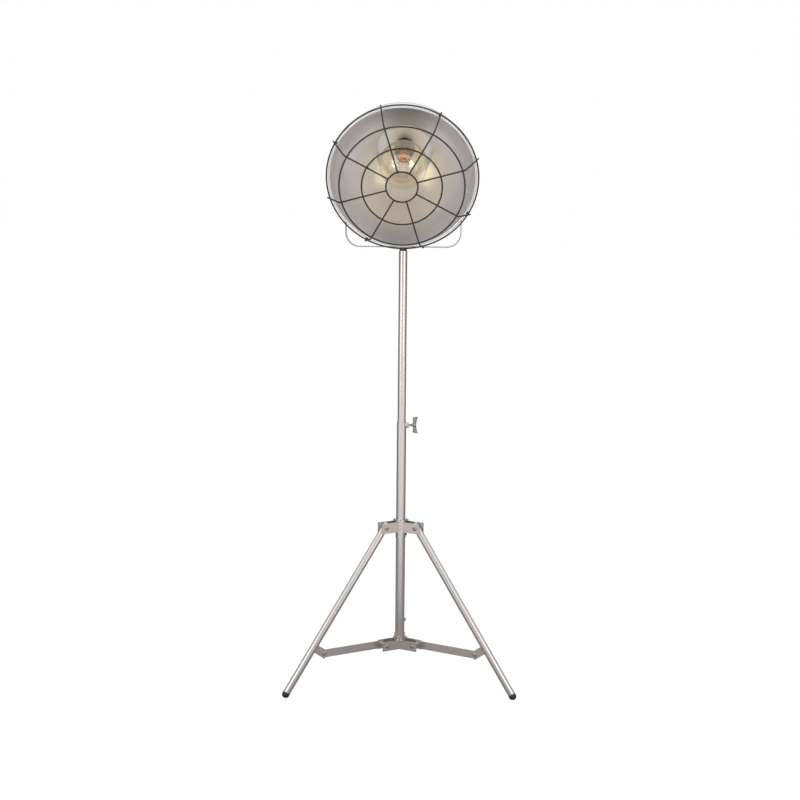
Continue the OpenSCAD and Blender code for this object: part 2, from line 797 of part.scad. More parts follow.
swivel_washer();
yoke();
shade();
neck_ring();
neck_cap();
cable_gland();
lamp_holder();
bulb_glass();
bulb_base();
bulb_stem();
guard_rings();
guard_spokes();
guard_clips();
tilt_studs();
tilt_spacers();
tilt_knob(0);  // tilt_knob_right
tilt_knob(180);  // tilt_knob_left
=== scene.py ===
"""Looks for the tripod floor lamp, in metres.

Materials for the CAD's pieces, finer fasteners, welds and bulb parts, and the studio's light and camera.
"""

import math

import bmesh
import bpy
import numpy as np
from mathutils import Matrix, Vector


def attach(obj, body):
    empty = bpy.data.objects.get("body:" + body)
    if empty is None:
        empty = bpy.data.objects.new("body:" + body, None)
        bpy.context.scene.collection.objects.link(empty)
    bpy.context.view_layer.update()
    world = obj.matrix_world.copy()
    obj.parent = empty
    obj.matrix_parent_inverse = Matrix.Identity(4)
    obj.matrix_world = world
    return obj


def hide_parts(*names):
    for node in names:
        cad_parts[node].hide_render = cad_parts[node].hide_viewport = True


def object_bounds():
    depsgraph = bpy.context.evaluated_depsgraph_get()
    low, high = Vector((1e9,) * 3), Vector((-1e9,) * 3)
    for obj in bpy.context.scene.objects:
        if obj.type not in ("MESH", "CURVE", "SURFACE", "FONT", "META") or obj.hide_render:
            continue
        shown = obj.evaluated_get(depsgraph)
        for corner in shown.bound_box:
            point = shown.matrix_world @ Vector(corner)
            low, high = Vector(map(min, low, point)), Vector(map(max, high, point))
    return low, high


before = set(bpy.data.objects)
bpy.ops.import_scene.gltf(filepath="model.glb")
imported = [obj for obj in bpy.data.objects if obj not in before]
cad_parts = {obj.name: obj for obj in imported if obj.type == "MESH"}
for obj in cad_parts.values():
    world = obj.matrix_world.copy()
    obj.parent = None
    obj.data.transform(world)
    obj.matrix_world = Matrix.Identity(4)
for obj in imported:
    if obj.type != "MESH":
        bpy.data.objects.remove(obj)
cad_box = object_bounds()

# ---------------------------------------------------------------- stand
TUBE_R, TUBE_TO_CORE = 0.0125, 0.003
LEG_R, LEG_PIVOT_R, LEG_PIVOT_Z, FOOT_R = 0.0095, 0.0495, 0.420, 0.3465
HUB_PIVOT_R, BRACE_Z, LUG_PIVOT_R = 0.046, 0.097, 0.2245
SHEET_T, SEAT, FACE_GAP = 0.0025, 0.0005, 0.0003
BEARINGS = [-30, 90, 210]
SIDES = [1, -1, -1]  # which side of each leg its brace is on
LEG_ANGLE = math.atan((FOOT_R - LEG_PIVOT_R) / LEG_PIVOT_Z)

HEAD_GAP = 2 * LEG_R + 0.001
HUB_GAP = 2 * (TUBE_R + TUBE_TO_CORE - SEAT) * math.sin(math.radians(60))
BRACE_IN = HUB_GAP / 2 - FACE_GAP - SHEET_T

LUG_T, LUG_HALF_H = 0.003, 0.0105
LUG_OUT = BRACE_IN - FACE_GAP
LUG_DX, LUG_DZ = LUG_PIVOT_R - LEG_PIVOT_R, LEG_PIVOT_Z - BRACE_Z
LUG_IN = LUG_DZ * math.sin(LEG_ANGLE) - LUG_DX * math.cos(LEG_ANGLE)
LUG_DOWN = LUG_DX * math.sin(LEG_ANGLE) + LUG_DZ * math.cos(LEG_ANGLE)

# ---------------------------------------------------------------- fasteners
BOLT_R, BOLT_HEAD_R, BOLT_HEAD_H = 0.003, 0.0054, 0.0034
NUT_R, NUT_H, BOLT_END, PITCH = 0.0056, 0.0046, 0.0015, 0.001
THIN_NUT_H, THIN_NUT_END = NUT_H - 0.001, 0.002
CLAMP_Z, BOSS_R, BOSS_LEN = 0.694, 0.0075, 0.007
CLAMP_R, CLAMP_SHAFT, CLAMP_TURN = 0.0029, 0.011, 8
GRIP_X = TUBE_R + BOSS_LEN + CLAMP_SHAFT

# ---------------------------------------------------------------- lamp head
LAMP_TILT, LAMP_TURN, TILT_Z = math.radians(22.5), math.radians(-1.4), 1.400
RIM_AHEAD = 0.160
BULB_R, BULB_Z = 0.0625, RIM_AHEAD - 0.094
BASE_R, BASE_LEN = 0.013, 0.027
BASE_FRONT = BULB_Z - BULB_R - 0.004
BASE_END = BASE_FRONT - BASE_LEN
WIRE_R, CROSSING_LAP = 0.002, 0.0003
GUARD_Z, GUARD_FRONT_R, GUARD_MID_R, GUARD_SMALL_R = RIM_AHEAD + 0.060, 0.155, 0.0995, 0.0395
SPOKES, SPOKE_START = 8, math.radians(15.8)
SPOKE_Z = GUARD_Z - 2 * WIRE_R + CROSSING_LAP

HEAD = (Matrix.Rotation(LAMP_TURN, 4, "Z") @ Matrix.Translation((0, 0, TILT_Z))
        @ Matrix.Rotation(LAMP_TILT + math.pi / 2, 4, "X"))


# ---------------------------------------------------------------- places
def up(z):
    return Matrix.Translation((0, 0, z))


def turn_x(degrees):
    return Matrix.Rotation(math.radians(degrees), 4, "X")


def at_leg(i, r, z):
    """A frame at that radius and height in a leg's upright plane."""
    return Matrix.Rotation(math.radians(BEARINGS[i]), 4, "Z") @ Matrix.Translation((r, 0, z))


def leg_frame(i):
    """A leg's own frame: +Z runs down it from its pivot."""
    return at_leg(i, LEG_PIVOT_R, LEG_PIVOT_Z) @ Matrix.Rotation(math.pi - LEG_ANGLE, 4, "Y")


# ---------------------------------------------------------------- meshes, each as (verts, faces)
def tube_faces(rows, n):
    """Faces between rings of n points, row after row."""
    faces = []
    for j in range(rows - 1):
        for k in range(n):
            a, b = j * n + k, j * n + (k + 1) % n
            faces.append((a, b, b + n, a + n))
    return faces


def rings(profile, n, start=False, end=False):
    """Rings about Z. Each item is (radius, z), where radius may be a function of the angle."""
    verts = []
    for r, z in profile:
        for k in range(n):
            a = 2 * math.pi * k / n
            radius = r(a) if callable(r) else r
            verts.append((radius * math.cos(a), radius * math.sin(a), z))
    rows = len(profile)
    faces = tube_faces(rows, n)
    if start:
        faces.append(tuple(reversed(range(n))))
    if end:
        faces.append(tuple(range((rows - 1) * n, rows * n)))
    return verts, faces


def sweep(points, radius, n=12, closed=False):
    """A round wire along a path, with rings kept square to it. The radius may be a function of the path."""
    pts = [Vector(p) for p in points]
    m = len(pts)
    tangents = []
    for i in range(m):
        a = pts[i - 1] if (i or closed) else pts[i]
        b = pts[(i + 1) % m] if (i < m - 1 or closed) else pts[i]
        tangents.append((b - a).normalized())
    u = tangents[0].orthogonal().normalized()
    verts = []
    for i, (p, t) in enumerate(zip(pts, tangents)):
        u = (u - t * u.dot(t)).normalized()
        v = t.cross(u)
        r = radius(i / max(1, m - 1)) if callable(radius) else radius
        for k in range(n):
            a = 2 * math.pi * k / n
            verts.append(tuple(p + u * r * math.cos(a) + v * r * math.sin(a)))
    if closed:
        faces = [tuple(v % (m * n) for v in face) for face in tube_faces(m + 1, n)]
    else:
        faces = tube_faces(m, n)
        faces.append(tuple(reversed(range(n))))
        faces.append(tuple(range((m - 1) * n, m * n)))
    return verts, faces


def thread(radius, depth, pitch, low, high, n=24):
    """A screw thread as one surface, which fades at both ends."""
    steps = max(8, int((high - low) / pitch * 8))
    verts = []
    for j in range(steps + 1):
        z = low + (high - low) * j / steps
        fade = min(1, (z - low) / pitch, (high - z) / pitch)
        for k in range(n):
            a = 2 * math.pi * k / n
            wave = abs(((z / pitch - k / n) % 1) * 2 - 1)
            r = radius - depth * wave * fade
            verts.append((r * math.cos(a), r * math.sin(a), z))
    faces = tube_faces(steps + 1, n)
    faces.append(tuple(reversed(range(n))))
    faces.append(tuple(range(steps * n, (steps + 1) * n)))
    return verts, faces


def joined(parts):
    """Several (verts, faces, matrix) as one mesh."""
    verts, faces = [], []
    for v, f, m in parts:
        base = len(verts)
        verts += [tuple(m @ Vector(p)) for p in v]
        faces += [tuple(i + base for i in face) for face in f]
    return verts, faces


def add(name, parts, material, body, slot, *nodes, sharp=35):
    """One piece made of those parts: it rides on the body and replaces the CAD's nodes."""
    mesh = bpy.data.meshes.new(name)
    verts, faces = joined(parts)
    mesh.from_pydata(verts, [], faces)
    bm = bmesh.new()
    bm.from_mesh(mesh)
    bmesh.ops.remove_doubles(bm, verts=bm.verts, dist=1e-7)
    bmesh.ops.recalc_face_normals(bm, faces=bm.faces)
    bm.to_mesh(mesh)
    bm.free()
    mesh.shade_smooth()
    mesh.set_sharp_from_angle(angle=math.radians(sharp))
    mesh.materials.append(material)
    obj = bpy.data.objects.new(name, mesh)
    bpy.context.scene.collection.objects.link(obj)
    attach(obj, body)
    if nodes:
        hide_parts(*nodes)


# ---------------------------------------------------------------- shader nodes
def new_material(name):
    m = bpy.data.materials.new(name)
    m.use_nodes = True
    nt = m.node_tree
    return m, nt, nt.nodes["Principled BSDF"]


def grey(level):
    return (level, level, level)


def noise(nt, scale, detail, rough, stretch=None, turn=None):
    coord = nt.nodes.new("ShaderNodeTexCoord")
    mapping = nt.nodes.new("ShaderNodeMapping")
    nt.links.new(coord.outputs["Object"], mapping.inputs["Vector"])
    if turn is not None:
        mapping.inputs["Rotation"].default_value = turn
    if stretch is not None:
        second = nt.nodes.new("ShaderNodeMapping")
        nt.links.new(mapping.outputs["Vector"], second.inputs["Vector"])
        second.inputs["Scale"].default_value = stretch
        mapping = second
    tex = nt.nodes.new("ShaderNodeTexNoise")
    tex.inputs["Scale"].default_value = scale
    tex.inputs["Detail"].default_value = detail
    tex.inputs["Roughness"].default_value = rough
    nt.links.new(mapping.outputs["Vector"], tex.inputs["Vector"])
    return tex.outputs["Fac"]


def ramp(nt, value, stops):
    node = nt.nodes.new("ShaderNodeValToRGB")
    while len(node.color_ramp.elements) < len(stops):
        node.color_ramp.elements.new(0.5)
    for element, (place, colour) in zip(node.color_ramp.elements, stops):
        element.position = place
        element.color = (*colour, 1)
    nt.links.new(value, node.inputs["Fac"])
    return node.outputs["Color"]


def spread(nt, value, low, high, start=0.0, stop=1.0):
    """The value, from start to stop, spread over low to high."""
    node = nt.nodes.new("ShaderNodeMapRange")
    node.inputs["From Min"].default_value = start
    node.inputs["From Max"].default_value = stop
    node.inputs["To Min"].default_value = low
    node.inputs["To Max"].default_value = high
    nt.links.new(value, node.inputs["Value"])
    return node.outputs["Result"]


def scaled(nt, value, factor):
    node = nt.nodes.new("ShaderNodeMath")
    node.operation = "MULTIPLY"
    node.inputs[1].default_value = factor
    nt.links.new(value, node.inputs[0])
    return node.outputs[0]


def bump(nt, shader, value, strength, distance):
    node = nt.nodes.new("ShaderNodeBump")
    node.inputs["Strength"].default_value = strength
    node.inputs["Distance"].default_value = distance
    nt.links.new(value, node.inputs["Height"])
    nt.links.new(node.outputs["Normal"], shader.inputs["Normal"])


def axes(nt, kind):
    """X, Y and Z of a texture coordinate."""
    coord = nt.nodes.new("ShaderNodeTexCoord")
    parts = nt.nodes.new("ShaderNodeSeparateXYZ")
    nt.links.new(coord.outputs[kind], parts.inputs[0])
    return parts.outputs


def mixed(nt, first, second):
    """A mix of two shaders. Its Fac is left to the caller."""
    node = nt.nodes.new("ShaderNodeMixShader")
    nt.links.new(first, node.inputs[1])
    nt.links.new(second, node.inputs[2])
    return node


# ---------------------------------------------------------------- materials
def metal(name, light, dark, rough, grain_scale, stretch, turn=None, strength=0.12, depth=0.00004):
    """Satin metal with fine drawn lines and a clouded finish."""
    m, nt, s = new_material(name)
    s.inputs["Metallic"].default_value = 1.0
    lines = noise(nt, grain_scale, 3, 0.6, stretch, turn)
    cloud = noise(nt, 9, 3, 0.5)
    both = nt.nodes.new("ShaderNodeMath")
    both.operation = "ADD"
    nt.links.new(lines, both.inputs[0])
    nt.links.new(cloud, both.inputs[1])
    finish = scaled(nt, both.outputs[0], 0.5)
    nt.links.new(ramp(nt, finish, [(0.3, dark), (0.7, light)]), s.inputs["Base Color"])
    nt.links.new(spread(nt, finish, rough - 0.06, rough + 0.06), s.inputs["Roughness"])
    bump(nt, s, lines, strength, depth)
    return m


def moulded(name, light, dark, rough, scale, strength=0.2, depth=0.0001):
    """Black plastic, rubber or powder coat: fine grain, slightly uneven gloss."""
    m, nt, s = new_material(name)
    grain = noise(nt, scale, 5, 0.6)
    wear = noise(nt, 22, 3, 0.5)
    nt.links.new(ramp(nt, wear, [(0.35, dark), (0.7, light)]), s.inputs["Base Color"])
    nt.links.new(spread(nt, grain, rough - 0.08, rough + 0.08), s.inputs["Roughness"])
    bump(nt, s, grain, strength, depth)
    return m


def spun_metal(name, light, dark, rough):
    """The shade's satin sheet, spun on a lathe: faint rings about the lamp's axis."""
    m, nt, s = new_material(name)
    s.inputs["Metallic"].default_value = 0.72
    coord = nt.nodes.new("ShaderNodeTexCoord")
    turn = nt.nodes.new("ShaderNodeMapping")
    inverse = HEAD.inverted()
    turn.inputs["Location"].default_value = inverse.to_translation()
    turn.inputs["Rotation"].default_value = inverse.to_euler("XYZ")
    nt.links.new(coord.outputs["Object"], turn.inputs["Vector"])
    parts = nt.nodes.new("ShaderNodeSeparateXYZ")
    nt.links.new(turn.outputs["Vector"], parts.inputs[0])
    along = nt.nodes.new("ShaderNodeCombineXYZ")
    nt.links.new(parts.outputs["Z"], along.inputs["Z"])
    lathe = nt.nodes.new("ShaderNodeTexNoise")
    lathe.inputs["Scale"].default_value = 420
    lathe.inputs["Detail"].default_value = 4
    nt.links.new(along.outputs[0], lathe.inputs["Vector"])
    cloud = noise(nt, 6, 3, 0.5)
    nt.links.new(ramp(nt, cloud, [(0.35, dark), (0.65, light)]), s.inputs["Base Color"])
    nt.links.new(spread(nt, lathe.outputs["Fac"], rough - 0.05, rough + 0.05), s.inputs["Roughness"])
    bump(nt, s, lathe.outputs["Fac"], 0.10, 0.00005)
    return m


def glass(name, colour, rough):
    m, nt, s = new_material(name)
    s.inputs["Transmission Weight"].default_value = 1.0
    s.inputs["IOR"].default_value = 1.45
    s.inputs["Base Color"].default_value = (*colour, 1)
    s.inputs["Roughness"].default_value = rough
    s.inputs["Coat Weight"].default_value = 1.0
    s.inputs["Coat IOR"].default_value = 1.9
    s.inputs["Coat Roughness"].default_value = 0.02
    return m


def drawn_tube(name, rough, turn=None):
    """Satin nickel with lines along the tube."""
    light, dark = (0.66, 0.62, 0.595), (0.58, 0.54, 0.52)
    return metal(name, light, dark, rough, 60, (14, 14, 0.35), turn, strength=0.012)


EVEN = (1, 1, 1)
nickel_column = drawn_tube("satin_nickel_column", 0.24)
# the drawn lines run down each leg: its frame's own turn, undone
nickel_legs = [drawn_tube(f"satin_nickel_leg_{i + 1}", 0.22, leg_frame(i).to_3x3().inverted().to_euler("XYZ"))
               for i in range(3)]
nickel_sheet = metal("satin_nickel_sheet", (0.70, 0.645, 0.62), (0.56, 0.515, 0.49),
                     0.36, 160, (1.2, 1.2, 5), strength=0.16)
# painted shade: the yoke's satin nickel is a darker copy of the sheet's nickel, to show the yoke shaded
yoke_nickel_painted_shade = metal("satin_nickel_yoke_painted_shade", (0.60, 0.555, 0.53), (0.50, 0.46, 0.44), 0.30, 160, (0.8, 6, 2.0))
steel = metal("fastener_zinc", (0.50, 0.475, 0.455), (0.24, 0.23, 0.22), 0.22, 420, EVEN, strength=0.15)
cast = metal("cast_wing_screw", (0.54, 0.52, 0.50), (0.20, 0.19, 0.18),
             0.30, 500, EVEN, strength=0.5, depth=0.00012)
rubber = moulded("foot_rubber", (0.030, 0.030, 0.031), (0.014, 0.014, 0.015), 0.62, 900, 0.35)
plastic = moulded("black_plastic", (0.028, 0.028, 0.030), (0.016, 0.016, 0.017), 0.42, 1200)
coated = moulded("guard_black", (0.022, 0.022, 0.024), (0.012, 0.012, 0.013), 0.46, 1500, depth=0.00006)
shade_metal = spun_metal("spun_satin_shade", (0.86, 0.84, 0.83), (0.82, 0.80, 0.79), 0.31)
amber = glass("amber_glass", (0.985, 0.91, 0.74), 0.0)
clear = glass("stem_glass", (0.97, 0.95, 0.90), 0.02)
brass = metal("bulb_brass", (0.80, 0.62, 0.36), (0.62, 0.45, 0.24), 0.24, 300, EVEN)
copper = metal("filament_copper", (0.80, 0.36, 0.20), (0.62, 0.25, 0.13), 0.22, 300, EVEN)


# ---------------------------------------------------------------- the CAD's pieces
def each(*names):
    """Those names with _1, _2 and _3."""
    return [f"{n}_{i}" for n in names for i in (1, 2, 3)]


def paint(material, *names):
    for n in names:
        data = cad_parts[n].data
        data.materials.clear()
        data.materials.append(material)


def soften(width, *names, segments=2):
    """A small round on the edges of a CAD piece, so that they catch the light."""
    for n in names:
        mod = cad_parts[n].modifiers.new("edge", "BEVEL")
        mod.width = width
        mod.segments = segments
        mod.limit_method = "ANGLE"
        mod.angle_limit = math.radians(38)
        mod.harden_normals = False


PLATES = [f"{bracket}_plate_{side}" for bracket in ("hub", "head") for side in ("front", "right", "left")]

for i in range(3):
    paint(nickel_legs[i], f"leg_tube_{i + 1}")
paint(nickel_column, "lower_tube", "mast_tube", "clamp_boss", "hub_core", "head_collar")
paint(nickel_sheet, *PLATES, *each("leg_lug", "brace"), "hub_spacers", "swivel_washer", "tilt_spacers")
paint(yoke_nickel_painted_shade, "yoke")
paint(steel, "hub_bolts", "hub_nuts", "head_bolts", "head_nuts", "swivel_bolt",
      *each("lug_bolt", "brace_nut"))
paint(rubber, *each("leg_foot"))
paint(plastic, "tube_end_plug", "mast_glide", "mast_cap", "tilt_knob_right", "tilt_knob_left",
      "cable_gland", "lamp_holder", "set_screw")
paint(coated, "guard_rings", "guard_spokes", "guard_clips")
paint(shade_metal, "shade", "neck_ring", "neck_cap", "tilt_studs")
paint(cast, "wing_screw")
paint(amber, "bulb_glass")
paint(brass, "bulb_base")
paint(clear, "bulb_stem")

soften(0.0004, *PLATES, *each("leg_lug", "brace"), "yoke")
soften(0.0009, "tilt_knob_right", "tilt_knob_left", "cable_gland", segments=3)


# ---------------------------------------------------------------- bolts and nuts
def hexagon(flat):
    """Radius of a hexagon of that half width across flats, by angle."""
    return lambda a: flat / math.cos((a % (math.pi / 3)) - math.pi / 6)


def rounded_hexagon(flat, limit):
    full = hexagon(flat)
    return lambda a: min(full(a), limit)


def bolt(matrix, shank):
    """A button-head bolt with a hexagon socket: the head's underside at z = 0, its threads below."""
    socket = hexagon(0.42 * BOLT_HEAD_R)
    rim = 0.4 * BOLT_HEAD_H
    profile = [(socket, 0.45 * BOLT_HEAD_H), (socket, 0.93 * BOLT_HEAD_H), (0.56 * BOLT_HEAD_R, BOLT_HEAD_H)]
    profile += [(BOLT_HEAD_R * math.sin(a), rim + (BOLT_HEAD_H - rim) * math.cos(a))
                for a in [math.radians(v) for v in (42, 52, 62, 72, 80, 86, 90)]]
    profile += [(BOLT_HEAD_R, 0.1 * BOLT_HEAD_H), (BOLT_HEAD_R * 0.96, 0), (BOLT_R, 0)]
    return [(*rings(profile, 24, start=True), matrix),
            (*thread(BOLT_R, 0.06 * BOLT_R, PITCH, -shank, 0.0002), matrix)]


def nut(matrix, height=NUT_H):
    """A hexagon nut with its corners chamfered, standing on z = 0."""
    flat = NUT_R * math.cos(math.pi / 6)
    low, mid = rounded_hexagon(flat, flat * 1.02), rounded_hexagon(flat, flat * 1.09)
    half = [(BOLT_R, 0.0003), (BOLT_R + 0.0005, 0), (flat * 0.94, 0), (low, 0.0001), (mid, 0.0004),
            (hexagon(flat), 0.0008)]
    profile = half + [(r, height - z) for r, z in reversed(half)]
    return (*rings(profile, 24), matrix)


def bracket_bolt(place, side, gap):
    """A bolt through both plates of a bracket, and its nut."""
    seat = up(gap / 2 + SHEET_T)
    return (bolt(place @ turn_x(90 * side) @ seat, gap + 2 * SHEET_T + NUT_H + BOLT_END),
            nut(place @ turn_x(-90 * side) @ seat))


def lug_bolt(i):
    place = leg_frame(i) @ Matrix.Translation((LUG_IN, SIDES[i] * (LUG_OUT - LUG_T), LUG_DOWN))
    add(f"lug_bolt_{i + 1}_fine", bolt(place @ turn_x(90 * SIDES[i]), LUG_T), steel,
        f"leg_{i + 1}", "fastener_steel", f"lug_bolt_{i + 1}")


def brace_nut(i):
    """A thin nut on the brace's outer end, with the lug bolt's end standing out of it."""
    place = at_leg(i, LUG_PIVOT_R, BRACE_Z) @ turn_x(-90 * SIDES[i])
    face = BRACE_IN + SHEET_T
    end = thread(BOLT_R, 0.0002, PITCH, BRACE_IN, face + THIN_NUT_H + THIN_NUT_END)
    add(f"brace_nut_{i + 1}_fine", [nut(place @ up(face), THIN_NUT_H), (*end, place)], steel,
        f"brace_{i + 1}", "fastener_steel", f"brace_nut_{i + 1}")


head_bolts, head_nuts, hub_bolts, hub_nuts = [], [], [], []
for i in range(3):
    bolt_parts, nut_part = bracket_bolt(at_leg(i, LEG_PIVOT_R, LEG_PIVOT_Z), SIDES[i], HEAD_GAP)
    head_bolts += bolt_parts
    head_nuts.append(nut_part)
    bolt_parts, nut_part = bracket_bolt(at_leg(i, HUB_PIVOT_R, BRACE_Z), SIDES[i], HUB_GAP)
    hub_bolts += bolt_parts
    hub_nuts.append(nut_part)
    lug_bolt(i)
    brace_nut(i)
add("head_bolts_fine", head_bolts, steel, "tripod_head", "fastener_steel", "head_bolts")
add("head_nuts_fine", head_nuts, steel, "tripod_head", "fastener_steel", "head_nuts")
add("hub_bolts_fine", hub_bolts, steel, "column", "fastener_steel", "hub_bolts")
add("hub_nuts_fine", hub_nuts, steel, "column", "fastener_steel", "hub_nuts")


# ---------------------------------------------------------------- clamping screw with cast wings
WING_REACH, WING_FOOT, WING_RISE = 0.0225, 0.0040, 0.0030
WING_W, WING_SWELL, WING_T, WING_TAPER, WING_LEAN = 0.0042, 0.0026, 0.0027, 0.0007, 0.15
WING_TIP = 0.72  # from this share of its length on, the ear rounds off
SLIVER = 0.0001  # a closed end's last radius


def wing(side):
    """One cast ear: ellipses along a curved line, thick at the root and rounded at the tip."""
    n, steps = 20, 22
    verts = []
    for j in range(steps + 1):
        t = j / steps
        x = side * WING_REACH * math.sin(t * math.pi / 2) ** 0.9
        z = GRIP_X + WING_FOOT + WING_RISE * t ** 1.5
        rounding = math.sqrt(max(0.0, 1 - max(0.0, (t - WING_TIP) / (1 - WING_TIP)) ** 2))
        wide = (WING_W + WING_SWELL * math.sin(min(1, t * 1.25) * math.pi / 2) ** 2) * rounding + SLIVER
        thick = (WING_T - WING_TAPER * t) * rounding + SLIVER
        lean = WING_LEAN * t
        for k in range(n):
            a = 2 * math.pi * k / n
            u = wide * math.cos(a)
            verts.append((x + side * u * math.sin(lean), thick * math.sin(a), z + u * math.cos(lean)))
    faces = tube_faces(steps + 1, n)
    faces.append(tuple(range(n)))
    faces.append(tuple(range(steps * n, (steps + 1) * n)))
    return verts, faces


def wing_boss():
    """The round middle of the casting."""
    outline = [(SLIVER, -0.003), (0.0040, -0.003), (0.0047, -0.0022), (0.0052, 0.002), (0.0050, 0.0055),
               (0.0036, 0.0078), (SLIVER, 0.0082)]
    return rings([(r, GRIP_X + z) for r, z in outline], 32)


CLAMP = up(CLAMP_Z) @ Matrix.Rotation(math.pi / 2, 4, "Y")
turned = CLAMP @ Matrix.Rotation(math.radians(CLAMP_TURN), 4, "Z")
add("wing_screw_threads", [(*thread(CLAMP_R, 0.00035, PITCH, TUBE_R - 0.0011, GRIP_X - 0.002, 28), CLAMP)],
    steel, "clamp_screw", "fastener_steel", "wing_screw")
add("wing_screw_cast", [(*wing(1), turned), (*wing(-1), turned), (*wing_boss(), turned)], cast,
    "clamp_screw", "fastener_steel", sharp=60)


# ---------------------------------------------------------------- welds
def bead(points, radius, seed, closed=False):
    """A weld bead: a sweep whose radius ripples like laid metal."""
    jitter = np.random.default_rng(seed).uniform(0.9, 1.1, 400)
    last = len(jitter) - 1
    return sweep(points, lambda t: radius * (1 + 0.12 * math.sin(t * 60)) * jitter[int(t * last)], 10, closed)


def boss_weld():
    """Round the boss, on the tube's surface."""
    r, n = BOSS_R + 0.0004, 72
    points = []
    for k in range(n):
        a = 2 * math.pi * k / n
        y, z = r * math.sin(a), r * math.cos(a)
        points.append((math.sqrt(TUBE_R ** 2 - y * y) + 0.0001, y, CLAMP_Z + z))
    add("clamp_boss_weld", [(*bead(points, 0.0009, 3, closed=True), Matrix())], nickel_sheet, "column",
        "nickel_sheet", sharp=80)


def lug_weld(i):
    """Down the lug's inner face, where it meets the leg tube."""
    inner, steps = LUG_OUT - LUG_T, 30
    x, y = math.sqrt(LEG_R ** 2 - inner ** 2) + 0.0006, SIDES[i] * (inner - 0.0004)
    points = [(x, y, LUG_DOWN + LUG_HALF_H * (2 * k / steps - 1)) for k in range(steps + 1)]
    add(f"lug_weld_{i + 1}", [(*bead(points, 0.0010, 7 + i), leg_frame(i))], nickel_sheet, f"leg_{i + 1}",
        "nickel_sheet", sharp=80)


def guard_welds():
    """A nugget at each crossing of a spoke and a ring of the guard's face."""
    rng = np.random.default_rng(11)
    nuggets = []
    for k in range(SPOKES):
        a = SPOKE_START + k * 2 * math.pi / SPOKES
        for r in (GUARD_FRONT_R, GUARD_MID_R, GUARD_SMALL_R + 0.0012):
            size = 0.0021 * rng.uniform(0.9, 1.15)
            profile = [(size * 0.95 * math.sin(v), size * 0.8 * math.cos(v))
                       for v in np.linspace(0.02, math.pi - 0.02, 9)]
            place = Matrix.Translation((r * math.cos(a), r * math.sin(a), SPOKE_Z + WIRE_R - 0.0002))
            nuggets.append((*rings(profile, 12, start=True, end=True), HEAD @ place))
    add("guard_welds", nuggets, coated, "lamp_head", "guard_black", sharp=80)


boss_weld()
for i in range(3):
    lug_weld(i)
guard_welds()


# ---------------------------------------------------------------- bulb: base, glass stem, wires and filament
def bulb_base():
    collar = [(SLIVER, -0.0012), (0.0098, -0.0012), (0.0112, -0.0022), (0.0140, -0.0024), (0.0158, -0.0012),
              (0.0159, -0.0040), (BASE_R, -0.0045)]
    tip = [(BASE_R, 0.004), (0.0098, 0.0026), (0.0065, 0.0008), (0.0040, 0.0001), (SLIVER, 0)]
    parts = [rings([(r, BASE_FRONT + z) for r, z in collar], 48),
             thread(BASE_R, 0.0011, 0.0036, BASE_END + 0.004, BASE_FRONT - 0.004, 48),
             rings([(r, BASE_END + z) for r, z in tip], 48)]
    add("bulb_base_fine", [(*part, HEAD) for part in parts], copper, "lamp_head", "bulb_brass", "bulb_base")


def bulb_stem():
    outline = [(SLIVER, -0.0008), (0.0086, -0.0008), (0.0078, 0.0010), (0.0052, 0.0050), (0.0040, 0.0120),
               (0.0034, 0.0200), (0.0026, 0.0260), (0.0030, 0.0300), (0.0022, 0.0330), (SLIVER, 0.0335)]
    add("bulb_stem_fine", [(*rings([(r, BASE_FRONT + z) for r, z in outline], 32), HEAD)], clear,
        "lamp_head", "stem_glass", "bulb_stem", sharp=70)


def bulb_filament():
    """Two leads, five thin supports in a fan, and the filament zigzagging round them."""
    wires = []
    for side in (-1, 1):
        lead = [(side * x, 0, BASE_FRONT + z)
                for x, z in ((0.0016, 0.018), (0.0030, 0.034), (0.0090, 0.050), (0.0125, 0.056))]
        wires.append(sweep(lead, 0.0005, 8))
    for k in range(5):
        a = math.radians(36 + 72 * k)
        support = [(r * math.cos(a), r * math.sin(a), BASE_FRONT + z)
                   for r, z in ((0.001, 0.032), (0.006, 0.040), (0.0125, 0.046))]
        wires.append(sweep(support, 0.00028, 6))
    coil, steps, zigzags = [], 240, 9
    for k in range(steps + 1):
        t = k / steps
        a = math.radians(200 + 320 * t)
        zig = abs(((t * zigzags) % 1) * 2 - 1)
        coil.append((0.0128 * math.cos(a), 0.0128 * math.sin(a), BASE_FRONT + 0.046 + 0.016 * zig))
    wires.append(sweep(coil, 0.0004, 6))
    add("bulb_filament", [(*wire, HEAD) for wire in wires], copper, "lamp_head", "bulb_brass", sharp=80)


bulb_base()
bulb_stem()
bulb_filament()


# ---------------------------------------------------------------- stage, light, camera
def floor_paper():
    """Pale paper. In the metal it shows darker near and behind the lamp, and bright further in front."""
    m = bpy.data.materials.new("floor_paper")
    m.use_nodes = True
    nt = m.node_tree
    nt.nodes.clear()
    diffuse = nt.nodes.new("ShaderNodeBsdfDiffuse")
    diffuse.inputs["Color"].default_value = (*grey(0.55), 1)
    lit = nt.nodes.new("ShaderNodeEmission")
    ahead = spread(nt, axes(nt, "Object")["Y"], 0.0, 1.0, 1.0, -3.0)
    shine = ramp(nt, ahead, [(0.0, grey(0.16)), (0.35, grey(0.26)), (0.70, grey(1.25))])
    nt.links.new(shine, lit.inputs["Color"])
    bounce = mixed(nt, diffuse.outputs[0], lit.outputs[0])
    bounce.inputs["Fac"].default_value = 0.75
    glow = nt.nodes.new("ShaderNodeEmission")
    glow.inputs["Strength"].default_value = 1.14
    surface = mixed(nt, bounce.outputs[0], glow.outputs[0])
    path = nt.nodes.new("ShaderNodeLightPath")
    nt.links.new(scaled(nt, path.outputs["Is Camera Ray"], 0.88), surface.inputs["Fac"])
    out = nt.nodes.new("ShaderNodeOutputMaterial")
    nt.links.new(surface.outputs[0], out.inputs["Surface"])
    return m


